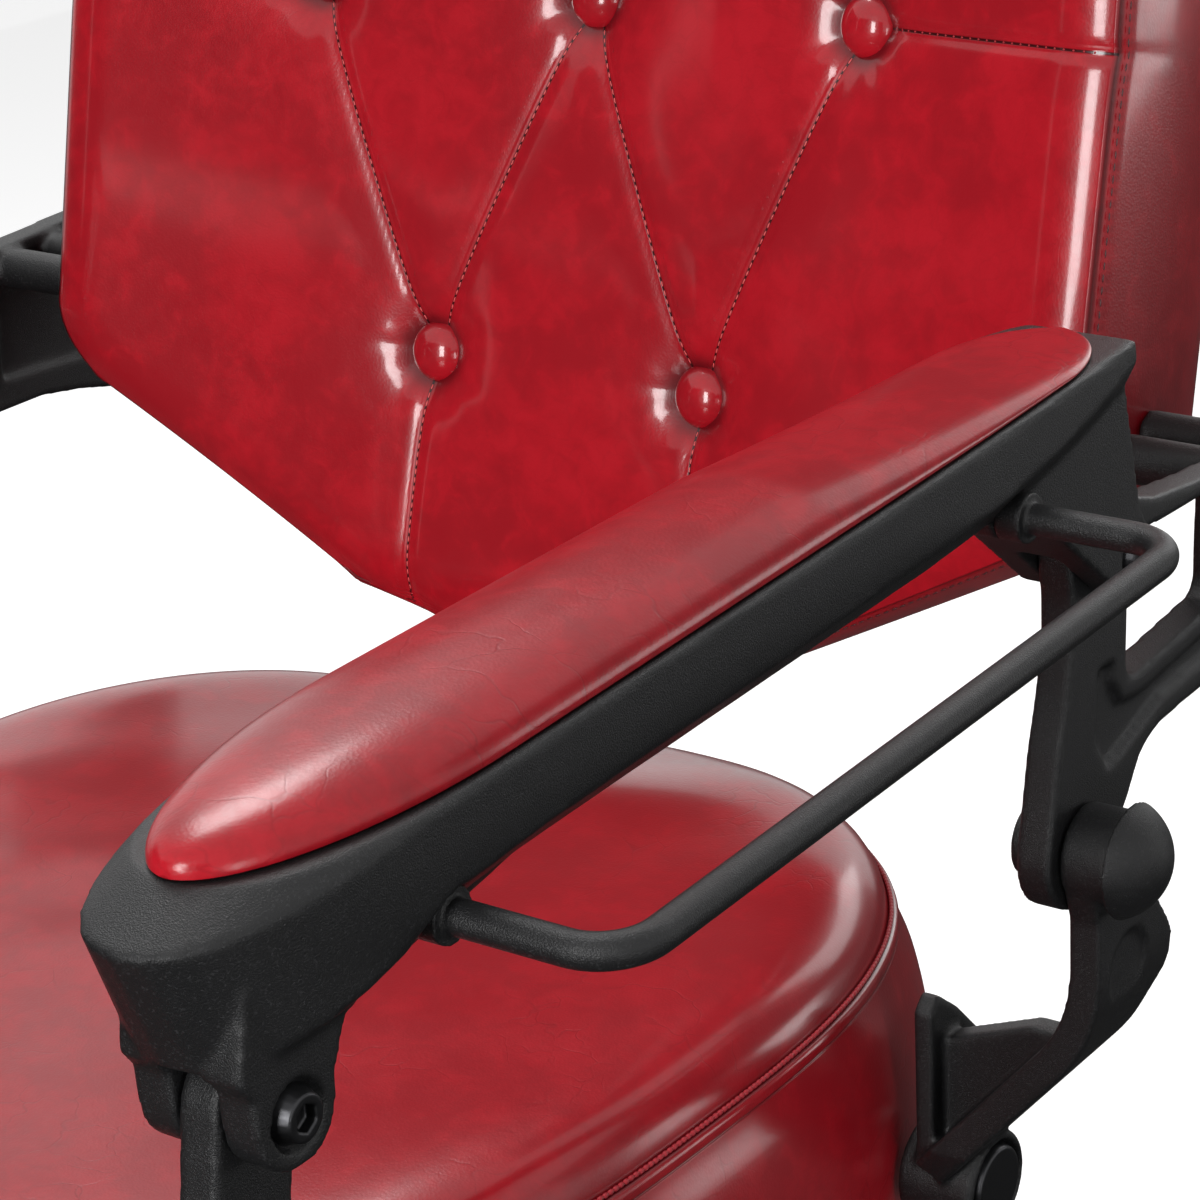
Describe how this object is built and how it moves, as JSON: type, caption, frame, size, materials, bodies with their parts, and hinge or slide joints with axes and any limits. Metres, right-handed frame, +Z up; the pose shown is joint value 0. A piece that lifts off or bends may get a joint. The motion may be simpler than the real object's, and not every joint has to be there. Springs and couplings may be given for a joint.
{
  "type": "barber chair",
  "caption": "Hydraulic barber chair with tufted reclining back, linked armrests and legrest, swivelling lift column and headrest.",
  "frame": {"origin": "on the floor, on the axis of the lift column, at the middle of the base's flat underside", "axes": "+Z up along the lift column; the sitter faces -Y; +X is the sitter's left, where the towel rod is"},
  "size_m": [0.7342, 1.0267, 1.2198],
  "materials": {
    "red_leather": "glossy, mottled oil-wax grain",
    "black_coat": "satin powder coat with fine sparkle",
    "dark_paint": "matt paint",
    "dark_bolt": "blackened",
    "chrome": "polished",
    "steel": "machined",
    "rubber": "matt",
    "plywood": "raw",
    "knob": "glossy"
  },
  "bodies": {
    "base": {"base_disc": "black_coat", "base_ring": "rubber", "pump_housing": "dark_paint", "pump_cover": "black_coat", "pump_collar": "chrome", "ram_seal": "rubber", "pedal_clevis": "dark_paint", "pedal_pin": "steel"},
    "pedal": {"pedal_arm": "black_coat", "pedal_pad": "rubber"},
    "lift": {"lift_ram": "chrome", "thrust_ring": "steel"},
    "seat": {"swivel_head": "dark_paint", "head_bolts": "dark_bolt", "seat_plate": "dark_paint", "seat_board": "plywood", "seat_cushion": "red_leather", "rear_bracket_left": "black_coat", "rear_bracket_right": "black_coat", "front_bracket_left": "black_coat", "front_bracket_right": "black_coat", "recline_pin_left": "black_coat", "recline_pin_right": "black_coat", "legrest_pin_left": "black_coat", "legrest_pin_right": "black_coat", "bracket_bolts": "dark_bolt", "lock_cylinder": "dark_paint"},
    "lever": {"recline_lever": "black_coat", "lever_knob": "knob"},
    "back": {"back_casting_left": "black_coat", "back_casting_right": "black_coat", "back_cushion": "red_leather", "back_buttons": "red_leather", "back_board": "plywood", "back_panel": "red_leather", "back_bolts": "dark_bolt", "headrest_socket": "black_coat"},
    "head_slide": {"headrest_bar": "chrome", "headrest_pin": "steel"},
    "headrest": {"headrest_bracket": "dark_paint", "headrest_cushion": "red_leather"},
    "arm_left": {"armrest_left": "black_coat", "armrest_pad_left": "red_leather", "arm_bolts_left": "dark_bolt", "towel_bar": "black_coat"},
    "arm_right": {"armrest_right": "black_coat", "armrest_pad_right": "red_leather", "arm_bolts_right": "dark_bolt"},
    "legrest": {"front_post_left": "black_coat", "front_post_right": "black_coat", "legrest_tubes": "black_coat", "calf_board": "plywood", "calf_pad": "red_leather"},
    "footrest": {"foot_hinge": "black_coat", "foot_plate": "black_coat", "foot_tread": "rubber"}
  },
  "joints": [
    {"name": "lift", "type": "slide", "parent": "base", "child": "lift", "axis": [0, 0, 1], "range_m": [0, 0.16]},
    {"name": "swivel", "type": "hinge", "parent": "lift", "child": "seat", "pos_m": [0, 0, 0.3], "axis": [0, 0, 1], "continuous": true},
    {"name": "recline", "type": "hinge", "parent": "seat", "child": "back", "pos_m": [0, 0.101, 0.592], "axis": [-1, 0, 0], "range_deg": [0, 15]},
    {"name": "arm_left_pivot", "type": "hinge", "parent": "back", "child": "arm_left", "pos_m": [0.305, 0.115, 0.696], "axis": [-1, 0, 0], "range_deg": [-16, 1]},
    {"name": "arm_right_pivot", "type": "hinge", "parent": "back", "child": "arm_right", "pos_m": [-0.305, 0.115, 0.696], "axis": [-1, 0, 0], "range_deg": [-16, 1]},
    {"name": "legrest_pivot", "type": "hinge", "parent": "seat", "child": "legrest", "pos_m": [0, -0.3272, 0.58906], "axis": [-1, 0, 0], "range_deg": [-1, 16]},
    {"name": "footrest_flip", "type": "hinge", "parent": "legrest", "child": "footrest", "pos_m": [0, -0.3803, 0.19462], "axis": [-1, 0, 0], "range_deg": [0, 60]},
    {"name": "headrest_slide", "type": "slide", "parent": "back", "child": "head_slide", "axis": [0, 0.2079, 0.9781], "range_m": [0, 0.1]},
    {"name": "headrest_tilt", "type": "hinge", "parent": "head_slide", "child": "headrest", "pos_m": [0, 0.43556, 1.14535], "axis": [-1, 0, 0], "range_deg": [-20, 20]},
    {"name": "pedal_press", "type": "hinge", "parent": "base", "child": "pedal", "pos_m": [0, 0.092, 0.092], "axis": [-1, 0, 0], "range_deg": [0, 16], "stiffness_Nm_per_rad": 14, "springref_deg": -20.05},
    {"name": "lever_lift", "type": "hinge", "parent": "seat", "child": "lever", "pos_m": [-0.2, 0.034, 0.35], "axis": [-1, 0, 0], "range_deg": [0, 22], "stiffness_Nm_per_rad": 2, "springref_deg": -14.32}
  ],
  "couplings": [
    {"joint": "arm_left_pivot", "follows": "recline", "ratio": -1},
    {"joint": "arm_right_pivot", "follows": "recline", "ratio": -1},
    {"joint": "legrest_pivot", "follows": "recline", "ratio": 1}
  ]
}
